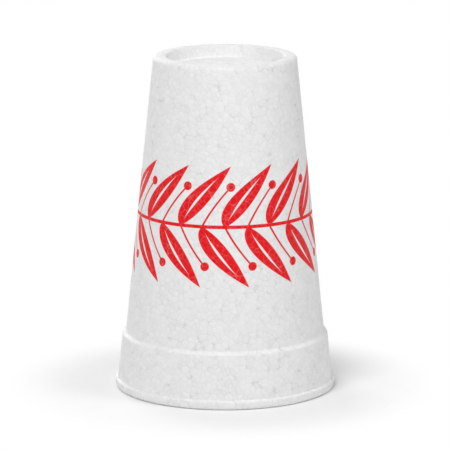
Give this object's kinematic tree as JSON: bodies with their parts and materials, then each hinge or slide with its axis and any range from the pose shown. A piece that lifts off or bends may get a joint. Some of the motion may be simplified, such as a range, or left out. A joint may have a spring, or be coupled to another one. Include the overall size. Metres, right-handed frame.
{
  "type": "foam cup",
  "caption": "Tall tapered drinking cup moulded in bead foam, standing mouth down, with a lip bead, a thick lip band, a nesting shoulder and a recessed base.",
  "frame": {"origin": "centre of the lip, on the plane that the cup stands on when it is turned mouth down", "axes": "+Z along the cup's axis, from the mouth to the base"},
  "size_m": [0.096, 0.096, 0.146],
  "materials": {
    "foam": "moulded white bead foam with a faint satin skin and a band of red print on the outside"
  },
  "bodies": {
    "root": {"cup": "foam"}
  },
  "joints": []
}
